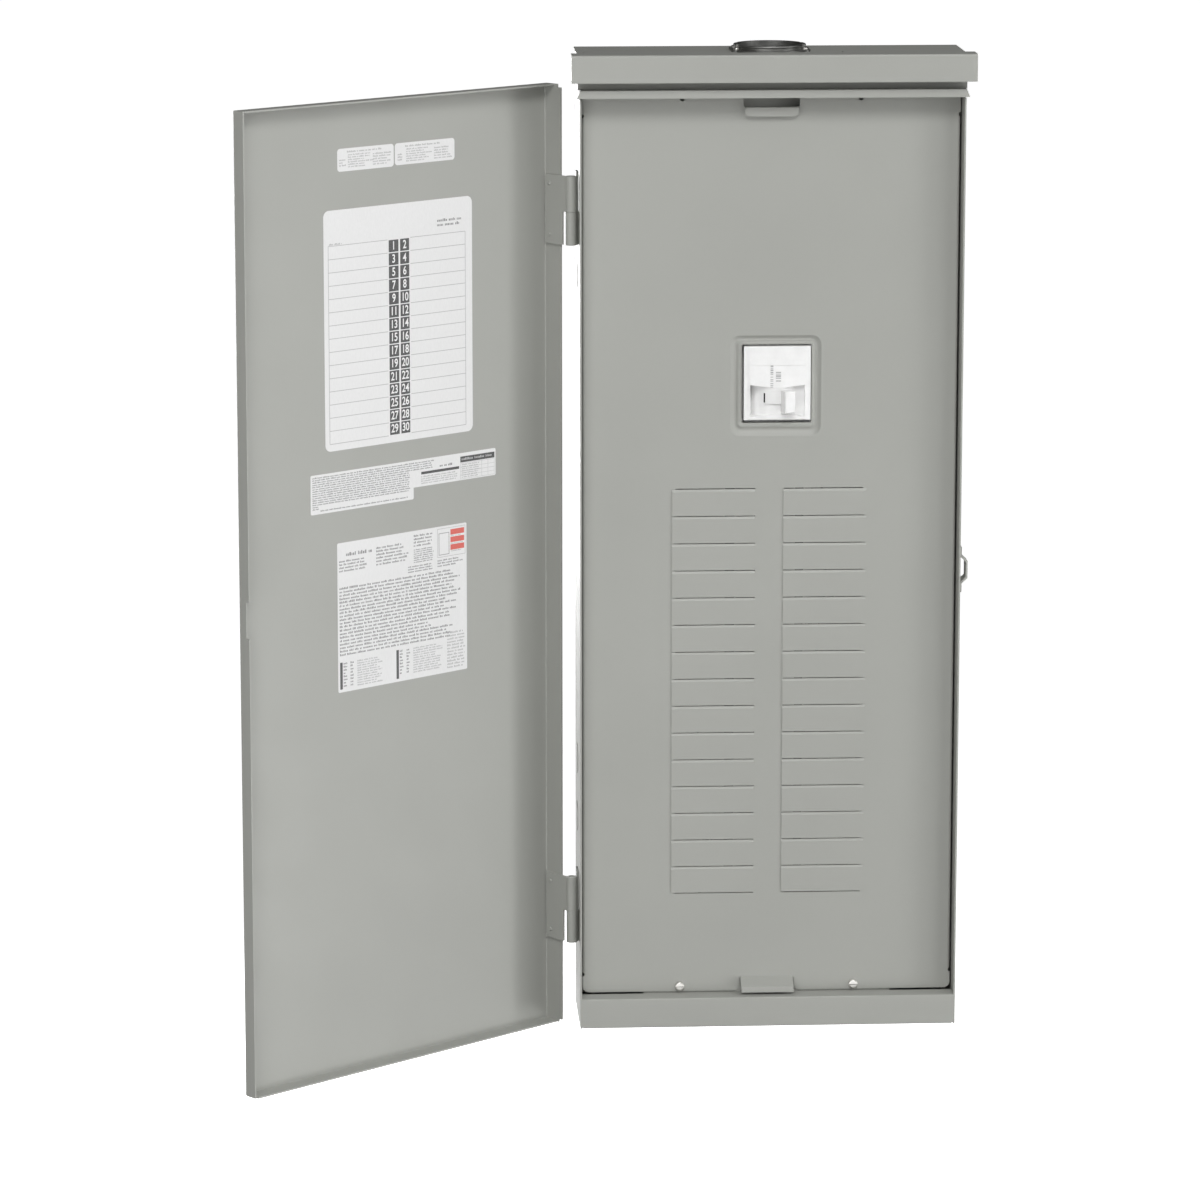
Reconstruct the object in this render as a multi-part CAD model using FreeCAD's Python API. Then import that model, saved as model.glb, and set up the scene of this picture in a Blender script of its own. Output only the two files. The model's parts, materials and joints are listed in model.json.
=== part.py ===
import FreeCAD, Part

import math
import os

# Outdoor residential load center: a wall-hung sheet-steel case with a rain hood, a hinged door that
# stands open, a deadfront with closed twist-outs, and the main breaker and busbars behind it.
# Millimetres. +X right seen from the front, +Y into the wall, +Z up. While it is built, Z = 0 is the
# underside of the case; each part is then shifted so that the origin is the centre of the four
# wall fixing holes, on the wall.

# ---- driving dimensions: case ----
CASE_W = 349.0
CASE_H = 902.0
CASE_D = 94.0
SHEET = 1.5
HALF_W = CASE_W / 2
WALL_IN = HALF_W - SHEET
FRONT = -CASE_D
FIXING_DX = 254.0
FIXING_DZ = 762.0
FIXING_R = 3.6
ORIGIN_Z = 452.5

# ---- top of the case: end wall with its drip lip, hood and conduit hub ----
TOP_FACE_Y = -86.0
TOP_FACE_LOW = 872.0
TOP_HALF_W = HALF_W + SHEET
LIP_FRONT_Y = -98.0
LIP_TOP = 872.6
LIP_LOW = 865.2
LIP_THICK = 1.2
LIP_HALF_TOP = 174.2
LIP_HALF_LOW = 177.2
TOP_Z = CASE_H + SHEET
HOOD_HALF_W = 182.5
HOOD_FRONT_Y = -108.0
HOOD_BACK_Y = -84.0
HOOD_LOW = 880.0
HOOD_TOP = TOP_Z + SHEET
HUB_Y = -48.0
HUB_BORE_R = 30.0
HUB_NECK_R = 33.0
HUB_FLANGE_R = 36.0
HUB_TOP = HOOD_TOP + 5.0
HUB_SCREW_R = 1.6
HUB_SCREWS = [(-31.0, HUB_Y - 13.0), (31.0, HUB_Y - 13.0), (-31.0, HUB_Y + 13.0), (31.0, HUB_Y + 13.0)]

# ---- bottom end wall ----
SHELF_Z = 28.0
SHELF_TAB_HALF = 115.0
SHELF_BACK_Y = -76.0

# ---- deadfront ----
DEAD_FRONT = -75.0
DEAD_BACK = DEAD_FRONT + SHEET
DEAD_HALF_W = 171.5
DEAD_LOW = 29.5
DEAD_TOP = 880.0
DEAD_BEND_LOW = 46.5
DEAD_BEND_TOP = 847.5
DEAD_RETURN_Y = -66.0
ROWS = 15
ROW_PITCH = 25.4
ROWS_TOP = 504.7
TWIST_IN = 12.9
TWIST_OUT = 89.3
TWIST_RAISE = 1.0
TWIST_SLOPE = 2.3
TWIST_GAP = 0.9
TWIST_WEB = 3.0
WINDOW = (-25.7, 37.8, 565.5, 637.7)
WINDOW_R = 1.5
DISH = (-36.7, 47.0, 553.4, 646.6)
DISH_R = 9.0
DISH_SLOPE = 5.0
DISH_DEPTH = 4.0
COLLAR_WIDTH = 2.8
COLLAR_DEPTH = 1.8
TAB_HALF = 24.3
TAB_GAP = 1.2
TAB_OUT = 5.5
TAB_LOW = 846.8
TAB_SLOT = (855.5, 868.0)
PULL_OUT = 12.0
PULL_LOW = 30.5
PULL_TOP = 43.0
PULL_NOTCH_TOP = 41.2
DEAD_SCREW = (81.0, 34.5)
DEAD_HOLE_Z = 862.5
DEAD_HOLE_R = 2.2
SCREW_R = 2.0

# ---- door, described closed and then turned to its open rest position ----
DOOR_HALF_W = 180.5
DOOR_FRONT = -103.0
DOOR_LOW = -3.5
DOOR_TOP = 875.0
DOOR_BEND_R = 2.4
FREE_FLANGE = 14.5
HINGE_FLANGE = 22.6
TOP_FLANGE = 15.0
BOTTOM_FLANGE = 16.5
NOTCH = (413.0, 446.0)
NOTCH_DEPTH = 3.8
DOOR_OPEN = 140.5

# ---- door hinges ----
HINGE_X = -181.3
HINGE_Y = -69.0
KNUCKLE_R = 4.9
PIN_R = 2.4
PIN_RUNNING = 0.05
LEAF = 1.8
HINGE_LEAF_LONG = 28.0
HINGES = {"upper": (729.6, 759.7, 792.6), "lower": (77.0, 106.6, 139.5)}

# ---- printed cards on the closed door: left, right, bottom and top ----
CARD_THICK = 0.3
SMALL_LABELS = ((1.0, 65.5, 812.8, 833.0), (-70.0, -0.5, 813.5, 833.0))
DIRECTORY = (-90.2, 82.0, 565.5, 779.5)
WIRING_LABEL = ((-19.5, 99.5, 511.0, 546.4), (-117.4, -15.0, 521.5, 546.4))
INSTRUCTIONS = (-82.0, 69.8, 346.3, 482.0)

# ---- padlock staple ----
STAPLE_Y = (-90.0, -74.0)
STAPLE_Z = (409.0, 451.0)
STAPLE_FOOT = 9.0
STAPLE_OUT = 7.0
STAPLE_SHEET = 1.6

# ---- main breaker ----
MAIN_X = 6.5
MAIN_HALF_W = 38.0
MAIN_Z = (530.0, 690.0)
MAIN_COVER_TOP = 655.0
MAIN_BACK = -13.5
MAIN_SPLIT = -44.0
MAIN_SHOULDER = -62.0
MAIN_FACE = -77.5
MAIN_WALL = 3.0
FACE_BLOCK = (-24.0, 37.0, 568.5, 636.5)
POLE_X = 18.25
HANDLE_Y = -52.0
HANDLE_Z = (577.5, 593.5)
HANDLE_ANGLE = 18.3
ARC_R = 25.0
CROSSBAR_Y = -32.0
CROSSBAR_Z = 572.0
CROSSBAR_R = 5.0
STUB_R = 2.0
HANDLE_PIN_R = 2.0
LEVER_FRONT = -88.0
NECK_Z = (585.0, 592.0)
SLOT_HALF = 12.2
SEAM_Z = 618.6
STRAP = 3.0
STRAP_HALF = 8.0
CONTACT_R = 3.5

# ---- interior ----
PAN_HALF_W = 94.0
PAN_Z = (100.0, 720.0)
PAN_FRONT = -13.5
PAN_SCREWS = [(-84.0, 112.0), (84.0, 112.0), (-84.0, 708.0), (84.0, 708.0)]
BUS_X = (10.0, 28.0)
BUS_Y = (-29.0, -26.0)
BUS_END = 548.0
STAB_TOP = -44.0
NEUTRAL_X = (98.0, 108.0)
NEUTRAL_Y = (-34.0, -24.0)
NEUTRAL_WAYS = 18
WAY_PITCH = 20.0
GROUND_X = (144.0, 154.0)
GROUND_WAYS = 12
WAY_R = 2.5
BAR_SCREW_R = 2.2
LUG_R = 6.5
LUG_DEPTH = 19.0
LUG_SCREW_R = 4.5


def box(x0, x1, y0, y1, z0, z1):
    return Part.makeBox(x1 - x0, y1 - y0, z1 - z0, FreeCAD.Vector(x0, y0, z0))


def rod(centre, radius, length, axis=(0, 0, 1)):
    return Part.makeCylinder(radius, length, FreeCAD.Vector(*centre), FreeCAD.Vector(*axis))


def prism(points, sweep):
    """Solid swept along the vector sweep from the closed outline through points."""
    corners = [FreeCAD.Vector(*p) for p in points]
    outline = Part.makePolygon(corners + corners[:1])
    return Part.Face(outline).extrude(FreeCAD.Vector(*sweep))


def round_edges(shape, radius, chosen):
    """Fillets every edge whose box centre passes the test chosen(x, y, z, edge)."""
    edges = []
    for edge in shape.Edges:
        middle = edge.BoundBox.Center
        if chosen(middle.x, middle.y, middle.z, edge):
            edges.append(edge)
    return shape.makeFillet(radius, edges)


def along(edge, axis):
    """True for a straight edge that runs along the given axis, 0 to 2."""
    spans = (edge.BoundBox.XLength, edge.BoundBox.YLength, edge.BoundBox.ZLength)
    return spans[axis] > 0.2 and sum(spans) - spans[axis] < 1e-3


def round_rect(x0, x1, z0, z1, radius, y0, y1):
    """Upright plate between y0 and y1 with rounded corners."""
    plate = box(x0, x1, y0, y1, z0, z1)
    return round_edges(plate, radius, lambda x, y, z, e: along(e, 1))


def round_outline(x0, x1, z0, z1, radius, y):
    """Closed wire of a rounded rectangle on the plane at y."""
    plate = round_rect(x0, x1, z0, z1, radius, y, y + 5.0)
    front = min(plate.Faces, key=lambda f: f.CenterOfMass.y)
    return front.OuterWire


def fuse(shapes):
    whole = shapes[0].multiFuse(shapes[1:]) if len(shapes) > 1 else shapes[0]
    return whole.removeSplitter()


def mirrored(shape):
    """The same shape on the other side of the plane X = 0."""
    return shape.mirror(FreeCAD.Vector(0, 0, 0), FreeCAD.Vector(1, 0, 0))


def both_sides(shape):
    return [shape, mirrored(shape)]


def slotted_head(centre, radius, height, direction, slot_width=1.2):
    """Low domed screw head with a driver slot, standing from centre towards -Y or +Z."""
    x, y, z = centre
    head = rod(centre, radius, height, direction)
    far_y = y + direction[1] * height
    far_z = z + direction[2] * height
    rim = [e for e in head.Edges if abs(e.BoundBox.Center.y - far_y) < 1e-3
           and abs(e.BoundBox.Center.z - far_z) < 1e-3 and e.Closed]
    head = head.makeFillet(height * 0.45, rim)
    reach = radius + 1.0
    half = slot_width / 2
    depth = height * 0.5
    if direction[1] < 0:
        slot = box(x - reach, x + reach, far_y - 1.0, far_y + depth, z - half, z + half)
    else:
        slot = box(x - reach, x + reach, y - half, y + half, far_z - depth, far_z + 1.0)
    return head.cut(slot)


PARTS = {}


def add(name, *solids):
    PARTS[name] = solids[0] if len(solids) == 1 else Part.makeCompound(list(solids))


# ---- case ----
def knockout(shape, centre, radius, outward):
    """A half-sheared disc: it stands 0.6 mm out of the sheet and leaves the same hollow inside."""
    step = 0.6
    out = FreeCAD.Vector(*outward)
    face = FreeCAD.Vector(*centre)
    proud = Part.makeCylinder(radius, step, face, out)
    hollow = Part.makeCylinder(radius - 0.4, step, face - out * SHEET, out)
    return shape.fuse(proud).cut(hollow)


def enclosure_wrapper():
    back = box(-HALF_W, HALF_W, -SHEET, 0, 0, CASE_H)
    side = box(WALL_IN, HALF_W, FRONT, 0, 0, CASE_H)
    shell = fuse([back] + both_sides(side))
    shell = round_edges(shell, SHEET, lambda x, y, z, e: along(e, 2) and abs(x) > HALF_W - 0.1 and y > -0.1)
    step = box(-HALF_W - 1, HALF_W + 1, FRONT - 1, TOP_FACE_Y + SHEET, LIP_LOW - 1.5, CASE_H + 1)
    shell = shell.cut(step)
    for z in (190.0, 245.0, 700.0):
        for side in (-1, 1):
            shell = knockout(shell, (side * HALF_W, -38.0, z), 14.0, (side, 0, 0))
    for x, z, radius in ((-45.0, 55.0, 17.0), (45.0, 55.0, 17.0), (0.0, 800.0, 26.0)):
        shell = knockout(shell, (x, -SHEET, z), radius, (0, -1, 0))
    for x in (-FIXING_DX / 2, FIXING_DX / 2):
        for z in (ORIGIN_Z - FIXING_DZ / 2, ORIGIN_Z + FIXING_DZ / 2):
            shell = shell.cut(rod((x, 1.0, z), FIXING_R, SHEET + 2.0, (0, -1, 0)))
    for x, z in PAN_SCREWS:
        shell = shell.cut(rod((x, 1.0, z), 2.0, SHEET + 2.0, (0, -1, 0)))
    add("enclosure_wrapper", shell.removeSplitter())


def top_endwall():
    roof = box(-TOP_HALF_W, TOP_HALF_W, TOP_FACE_Y, 0, CASE_H, TOP_Z)
    face = box(-TOP_HALF_W, TOP_HALF_W, TOP_FACE_Y, TOP_FACE_Y + SHEET, TOP_FACE_LOW, TOP_Z)
    side = box(HALF_W, TOP_HALF_W, TOP_FACE_Y, -SHEET, TOP_FACE_LOW, TOP_Z)
    front, back = LIP_FRONT_Y, LIP_FRONT_Y + LIP_THICK
    ledge = box(-LIP_HALF_TOP, LIP_HALF_TOP, front, TOP_FACE_Y + SHEET, LIP_TOP - LIP_THICK, LIP_TOP)
    outline = [(-LIP_HALF_TOP, LIP_TOP), (LIP_HALF_TOP, LIP_TOP),
               (LIP_HALF_LOW, LIP_LOW), (-LIP_HALF_LOW, LIP_LOW)]
    flap = prism([(x, front, z) for x, z in outline], (0, back - front, 0))
    lip = fuse([ledge, flap])
    lip = round_edges(lip, 0.9, lambda x, y, z, e: along(e, 0) and y < front + 0.1 and z > LIP_TOP - 0.1)
    shell = fuse([roof, face, lip] + both_sides(side))
    throat = rod((0, HUB_Y, CASE_H - 1), HUB_BORE_R, SHEET + 2)
    shell = shell.cut(throat)
    for x, y in HUB_SCREWS:
        shell = shell.cut(rod((x, y, CASE_H - 1), HUB_SCREW_R, SHEET + 2))
    add("top_endwall", shell)


def rain_hood():
    outer = box(-HOOD_HALF_W, HOOD_HALF_W, HOOD_FRONT_Y, HOOD_BACK_Y, HOOD_LOW, HOOD_TOP)
    near_back = HOOD_BACK_Y - 1
    outer = round_edges(outer, 2.0, lambda x, y, z, e: along(e, 0) and z > HOOD_TOP - 0.1 and y < near_back)
    inner = box(-HOOD_HALF_W + SHEET, HOOD_HALF_W - SHEET, HOOD_FRONT_Y + SHEET, HOOD_BACK_Y + 1,
                HOOD_LOW - 1, HOOD_TOP - SHEET)
    shell = outer.cut(inner)
    corner = 3.0
    for side in (-1, 1):
        x = side * HOOD_HALF_W
        relief = [(x + side, HOOD_FRONT_Y - 1, HOOD_TOP - corner), (x + side, HOOD_FRONT_Y - 1, HOOD_TOP + 1),
                  (x - side * corner, HOOD_FRONT_Y - 1, HOOD_TOP + 1)]
        shell = shell.cut(prism(relief, (0, 1 + SHEET, 0)))
    tab = box(64.0, 170.0, HOOD_BACK_Y - 0.5, -70.0, TOP_Z, HOOD_TOP)
    add("rain_hood", fuse([shell] + both_sides(tab)))


def conduit_hub():
    flange_h = 2.0
    bead_h = 2.2
    head_r = 3.0
    hub = rod((0, HUB_Y, TOP_Z), HUB_FLANGE_R, flange_h)
    neck = rod((0, HUB_Y, TOP_Z), HUB_NECK_R - 1.5, HUB_TOP - TOP_Z)
    bead = rod((0, HUB_Y, HUB_TOP - bead_h), HUB_NECK_R, bead_h)
    bead = bead.makeFillet(1.0, [e for e in bead.Edges if e.Closed])
    for x, y in HUB_SCREWS:
        hub = hub.fuse(rod((x, y, TOP_Z), head_r + 2.0, flange_h))
    hub = fuse([hub, neck, bead]).cut(rod((0, HUB_Y, TOP_Z - 1), HUB_BORE_R, 20.0))
    screws = []
    for x, y in HUB_SCREWS:
        hub = hub.cut(rod((x, y, TOP_Z - 1), HUB_SCREW_R, 4.0))
        hub = hub.cut(rod((x, y, TOP_Z + flange_h), head_r + 0.3, 8.0))
        screw = slotted_head((x, y, TOP_Z + flange_h), head_r, 1.8, (0, 0, 1), 0.9)
        shank_low = CASE_H - 4.0
        screws.append(screw.fuse(rod((x, y, shank_low), HUB_SCREW_R, TOP_Z + flange_h + 0.1 - shank_low)))
    add("conduit_hub", hub)
    add("hub_screws", *screws)


def bottom_endwall():
    floor = box(-WALL_IN, WALL_IN, FRONT, -SHEET, 0, SHEET)
    face = box(-WALL_IN, WALL_IN, FRONT, FRONT + SHEET, 0, SHELF_Z)
    shelf = box(-WALL_IN, WALL_IN, FRONT, SHELF_BACK_Y, SHELF_Z - SHEET, SHELF_Z)
    tongue = box(-SHELF_TAB_HALF, SHELF_TAB_HALF, SHELF_BACK_Y, DEAD_BACK + SHEET, SHELF_Z - SHEET, SHELF_Z)
    upstand_top = SHELF_Z + 16.0
    upstand = box(-SHELF_TAB_HALF, SHELF_TAB_HALF, DEAD_BACK, DEAD_BACK + SHEET, SHELF_Z - SHEET, upstand_top)
    ear = box(WALL_IN - SHEET, WALL_IN, FRONT + 8, -8.0, 0, 14.0)
    shell = fuse([floor, face, shelf, tongue, upstand] + both_sides(ear))
    outer_z = (0.0, SHELF_Z)
    front = FRONT + 0.1
    shell = round_edges(shell, 1.4, lambda x, y, z, e: along(e, 0) and y < front and round(z, 2) in outer_z)
    corner = 3.0
    for side in (-1, 1):
        x = side * WALL_IN
        relief = [(x + side, -1), (x - side * corner, -1), (x + side, corner)]
        shell = shell.cut(prism([(a, FRONT - 1, b) for a, b in relief], (0, 4.0, 0)))
    for x, radius in ((-110.0, 14.0), (-55.0, 17.0), (0.0, 26.0), (62.0, 17.0), (115.0, 14.0)):
        shell = knockout(shell, (x, -45.0, 0), radius, (0, 0, -1))
    for x in (-DEAD_SCREW[0], DEAD_SCREW[0]):
        shell = shell.cut(rod((x, DEAD_FRONT - 1, DEAD_SCREW[1]), SCREW_R, 8.0, (0, 1, 0)))
    add("bottom_endwall", shell)


# ---- deadfront ----
def dish_block(grow, y_wide, y_tight):
    """Block of the dish round the window: its four sides slope in towards the wall."""
    x0, x1, z0, z1 = DISH
    wide = round_outline(x0 - grow, x1 + grow, z0 - grow, z1 + grow, DISH_R + grow, y_wide)
    near = DISH_SLOPE - grow
    tight = round_outline(x0 + near, x1 - near, z0 + near, z1 - near, DISH_R - near + 2.0, y_tight)
    return Part.makeLoft([wide, tight], True, True)


def finger_tab():
    """Sheet lanced out of the slot near the top edge, folded forward and down."""
    fold_z = TAB_SLOT[0]
    fold = box(-TAB_HALF, TAB_HALF, DEAD_FRONT - TAB_OUT + SHEET, DEAD_BACK, fold_z - SHEET, fold_z)
    flap = box(-TAB_HALF, TAB_HALF, DEAD_FRONT - TAB_OUT, DEAD_FRONT - TAB_OUT + SHEET, TAB_LOW, fold_z)
    flap = round_edges(flap, 5.0, lambda x, y, z, e: along(e, 1) and z < TAB_LOW + 0.2)
    tab = fuse([fold, flap])
    return round_edges(tab, 1.2, lambda x, y, z, e: along(e, 0) and z > fold_z - 0.1 and y < DEAD_FRONT - 5.0)


def pull_tab():
    """Grip at the bottom edge: the sheet between two slits leans forward and then hangs."""
    out = DEAD_FRONT - PULL_OUT
    section = [(DEAD_BACK, PULL_TOP), (DEAD_FRONT, PULL_TOP), (out, PULL_TOP - 7.0), (out, PULL_LOW),
               (out + SHEET, PULL_LOW), (out + SHEET, PULL_TOP - 8.0), (DEAD_BACK, PULL_NOTCH_TOP)]
    return prism([(-TAB_HALF, y, z) for y, z in section], (2 * TAB_HALF, 0, 0))


def bent_plate():
    """Flat plate whose long sides are folded back, with a small round relief at each end of a fold."""
    plate = round_rect(-DEAD_HALF_W, DEAD_HALF_W, DEAD_LOW, DEAD_TOP, 6.0, DEAD_FRONT, DEAD_BACK)
    middle = box(-DEAD_HALF_W, DEAD_HALF_W, DEAD_FRONT, DEAD_RETURN_Y, DEAD_BEND_LOW, DEAD_BEND_TOP)
    middle = round_edges(middle, 2.5, lambda x, y, z, e: along(e, 2) and y < DEAD_FRONT + 0.1)
    inner = box(-DEAD_HALF_W + SHEET, DEAD_HALF_W - SHEET, DEAD_BACK, 0, 0, DEAD_TOP)
    inner = round_edges(inner, 1.0, lambda x, y, z, e: along(e, 2) and y < DEAD_BACK + 0.1)
    bent = box(-DEAD_HALF_W - 1, DEAD_HALF_W + 1, DEAD_FRONT - 1, 0, DEAD_BEND_LOW, DEAD_BEND_TOP)
    sheet = fuse([plate.cut(bent), middle.cut(inner)])
    for x in (-DEAD_HALF_W, DEAD_HALF_W):
        for z in (DEAD_BEND_LOW, DEAD_BEND_TOP):
            sheet = sheet.cut(rod((x, DEAD_FRONT - 1, z), 1.8, 10.0, (0, 1, 0)))
    return sheet


def with_window(sheet):
    """Presses the dish in and cuts the main breaker's window through a low collar on its floor."""
    skin = 1.1
    sheet = sheet.fuse(dish_block(skin, DEAD_BACK - 0.001, DEAD_BACK + DISH_DEPTH))
    sheet = sheet.cut(dish_block(0.0, DEAD_FRONT, DEAD_FRONT + DISH_DEPTH))
    x0, x1, z0, z1 = WINDOW
    wide = COLLAR_WIDTH
    collar = round_rect(x0 - wide, x1 + wide, z0 - wide, z1 + wide, WINDOW_R + wide,
                        DEAD_FRONT + COLLAR_DEPTH, DEAD_BACK + DISH_DEPTH)
    sheet = sheet.fuse(collar)
    return sheet.cut(round_rect(x0, x1, z0, z1, WINDOW_R, DEAD_FRONT, DEAD_BACK + DISH_DEPTH + 1))


def with_twist_outs(sheet):
    """Two columns of proud pads with a sloping top edge, and a slit between one pad and the next."""
    proud = DEAD_FRONT - TWIST_RAISE
    half_gap = TWIST_GAP / 2
    for row in range(ROWS):
        high = ROWS_TOP - row * ROW_PITCH - half_gap
        low = high - ROW_PITCH + TWIST_GAP
        section = [(DEAD_FRONT, low), (proud, low), (proud, high - TWIST_SLOPE), (DEAD_FRONT, high)]
        pad = prism([(TWIST_IN, y, z) for y, z in section], (TWIST_OUT - TWIST_IN, 0, 0))
        sheet = sheet.multiFuse(both_sides(pad))
    for row in range(ROWS + 1):
        z = ROWS_TOP - row * ROW_PITCH
        slit = box(TWIST_IN, TWIST_OUT - TWIST_WEB, DEAD_FRONT - 1, DEAD_BACK + 1, z - half_gap, z + half_gap)
        sheet = sheet.cut(Part.makeCompound(both_sides(slit)))
    return sheet


def with_tabs(sheet):
    """Cuts the finger slot and the bottom notch with its rounded corners, and joins the two tabs."""
    half = TAB_HALF + TAB_GAP
    front, back = DEAD_FRONT - 1, DEAD_BACK + 1
    sheet = sheet.cut(box(-half, half, front, back, *TAB_SLOT))
    sheet = sheet.cut(box(-half, half, front, back, DEAD_LOW - 1, PULL_NOTCH_TOP))
    radius = 5.0
    for side in (-1, 1):
        a, b = sorted((side * half, side * (half + radius)))
        corner = box(a, b, front, back, DEAD_LOW - 1, DEAD_LOW + radius)
        rounding = rod((side * (half + radius), front, DEAD_LOW + radius), radius, back - front, (0, 1, 0))
        sheet = sheet.cut(corner.cut(rounding))
    return fuse([sheet, finger_tab(), pull_tab()])


def deadfront():
    sheet = with_tabs(with_twist_outs(with_window(bent_plate())))
    for x in (-DEAD_SCREW[0], DEAD_SCREW[0]):
        for z in (DEAD_SCREW[1], DEAD_HOLE_Z):
            sheet = sheet.cut(rod((x, DEAD_FRONT - 1, z), DEAD_HOLE_R, 4.0, (0, 1, 0)))
    add("deadfront", sheet)


def deadfront_screws():
    screws = []
    for x in (-DEAD_SCREW[0], DEAD_SCREW[0]):
        head = slotted_head((x, DEAD_FRONT, DEAD_SCREW[1]), 4.3, 2.8, (0, -1, 0), 1.2)
        shank = rod((x, DEAD_FRONT, DEAD_SCREW[1]), SCREW_R, 12.0, (0, 1, 0))
        screws.append(fuse([head, shank]))
    add("deadfront_screws", *screws)


# ---- door: every piece is made closed and turned open about the hinge pins ----
def opened(shape):
    turned = shape.copy()
    turned.rotate(FreeCAD.Vector(HINGE_X, HINGE_Y, 0), FreeCAD.Vector(0, 0, 1), -DOOR_OPEN)
    return turned


def door_tray():
    """Five-sided tray of bent sheet, still with all its flanges as deep as the hinge side's."""
    deepest = DOOR_FRONT + HINGE_FLANGE
    outer = box(-DOOR_HALF_W, DOOR_HALF_W, DOOR_FRONT, deepest, DOOR_LOW, DOOR_TOP)
    outer = round_edges(outer, DOOR_BEND_R, lambda x, y, z, e: y < DOOR_FRONT + 0.1 and not along(e, 1))
    skin = DOOR_FRONT + SHEET
    inner = box(-DOOR_HALF_W + SHEET, DOOR_HALF_W - SHEET, skin, 0, DOOR_LOW + SHEET, DOOR_TOP - SHEET)
    inner = round_edges(inner, DOOR_BEND_R - SHEET, lambda x, y, z, e: y < skin + 0.1 and not along(e, 1))
    return outer.cut(inner)


def door():
    far = 1.0
    left, right = -DOOR_HALF_W, DOOR_HALF_W
    low, high = DOOR_LOW, DOOR_TOP
    waste = [
        box(right - SHEET - far, right + far, DOOR_FRONT + FREE_FLANGE, far, low - far, high + far),
        box(left + SHEET, right + far, DOOR_FRONT + TOP_FLANGE, far, high - SHEET - far, high + far),
        box(left + SHEET, right + far, DOOR_FRONT + BOTTOM_FLANGE, far, low - far, low + SHEET + far),
        box(right - SHEET - far, right + far, DOOR_FRONT + FREE_FLANGE - NOTCH_DEPTH, far, *NOTCH),
    ]
    relief = 3.0
    relief_y = DOOR_FRONT + TOP_FLANGE + relief
    for z in (low - far, high - relief):
        waste.append(box(left - far, left + SHEET, relief_y, far, z, z + relief + far))
    shell = door_tray()
    for piece in waste:
        shell = shell.cut(piece)
    add("door", opened(shell))


def hinge_door_leaf(low, split, high):
    """Closed position: the upper half of the barrel with an arm that runs in along the door's flange."""
    inner_x = -DOOR_HALF_W + SHEET
    front = DOOR_FRONT + 3.5
    joint = split + 0.25
    barrel = rod((HINGE_X, HINGE_Y, joint), KNUCKLE_R, high - joint)
    arm = box(inner_x, inner_x + LEAF, front, HINGE_Y, joint, high)
    lower = box(inner_x, inner_x + LEAF, front, HINGE_Y - KNUCKLE_R - 2.4, low, joint)
    leaf = fuse([barrel, arm, lower])
    return leaf.cut(rod((HINGE_X, HINGE_Y, low), PIN_R + PIN_RUNNING, high - low + 1))


def hinge_box_leaf(low, split, high):
    """The lower half of the barrel with a joggled strap that runs back along the case's side."""
    outer_x = -HALF_W - LEAF
    back_y = HINGE_Y + HINGE_LEAF_LONG
    foot = rod((HINGE_X, HINGE_Y, low), KNUCKLE_R, split - low)
    joggle = [(HINGE_X + 2.0, HINGE_Y), (HINGE_X + KNUCKLE_R, HINGE_Y), (-HALF_W, HINGE_Y + 4.0),
              (-HALF_W, back_y), (outer_x, back_y), (outer_x, HINGE_Y + 6.0), (HINGE_X + 2.0, HINGE_Y + 3.5)]
    strap = prism([(x, y, low) for x, y in joggle], (0, 0, split - low))
    upright = box(outer_x, -HALF_W, HINGE_Y + 8.0, back_y, low, high + 2.5)
    leaf = fuse([foot, strap, upright])
    return leaf.cut(rod((HINGE_X, HINGE_Y, low - 1), PIN_R, split - low + 2))


def hinges():
    box_rivets = []
    door_rivets = []
    for name, (low, split, high) in HINGES.items():
        add(name + "_hinge_door_leaf", opened(hinge_door_leaf(low, split, high)))
        add(name + "_hinge_box_leaf", hinge_box_leaf(low, split, high))
        pin = rod((HINGE_X, HINGE_Y, low), PIN_R, high - low - 0.5)
        add(name + "_hinge_pin", pin.makeChamfer(0.4, [e for e in pin.Edges if e.Closed]))
        for z in (low + 8.0, high - 8.0):
            face_x = -DOOR_HALF_W + SHEET + LEAF
            door_rivets.append(opened(rivet((face_x, DOOR_FRONT + 9.0, z), 1, 1.8)))
            box_rivets.append(rivet((-HALF_W - LEAF, HINGE_Y + 20.0, z), -1, 1.8))
    add("door_hinge_rivets", *door_rivets)
    add("box_hinge_rivets", *box_rivets)


def rivet(centre, side, radius, height=0.9):
    """Low round rivet head that stands on a face towards +X (side 1) or -X (side -1)."""
    head = rod(centre, radius, height, (side, 0, 0))
    far_x = centre[0] + side * height
    rim = [e for e in head.Edges if e.Closed and abs(e.BoundBox.Center.x - far_x) < 1e-3]
    return head.makeFillet(height * 0.7, rim)


def padlock_staple():
    y0, y1 = STAPLE_Y
    z0, z1 = STAPLE_Z
    foot = HALF_W + STAPLE_SHEET
    out = HALF_W + STAPLE_OUT
    low, high = z0 + STAPLE_FOOT, z1 - STAPLE_FOOT
    rise = 4.0
    inside = out - STAPLE_SHEET
    outline = [(HALF_W, z0), (foot, z0), (foot, low - 1), (out, low + rise), (out, high - rise),
               (foot, high + 1), (foot, z1), (HALF_W, z1), (HALF_W, high), (inside, high - rise - 1),
               (inside, low + rise + 1), (HALF_W, low)]
    add("padlock_staple", prism([(x, y0, z) for x, z in outline], (0, y1 - y0, 0)))
    heads = [rivet((foot, (y0 + y1) / 2, z), 1, 2.2) for z in (z0 + 4.0, z1 - 4.0)]
    add("staple_rivets", *heads)


# ---- printed cards on the door's inner face ----
def card(x0, x1, z0, z1, corner):
    face = DOOR_FRONT + SHEET
    return round_rect(x0, x1, z0, z1, corner, face, face + CARD_THICK)


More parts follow.
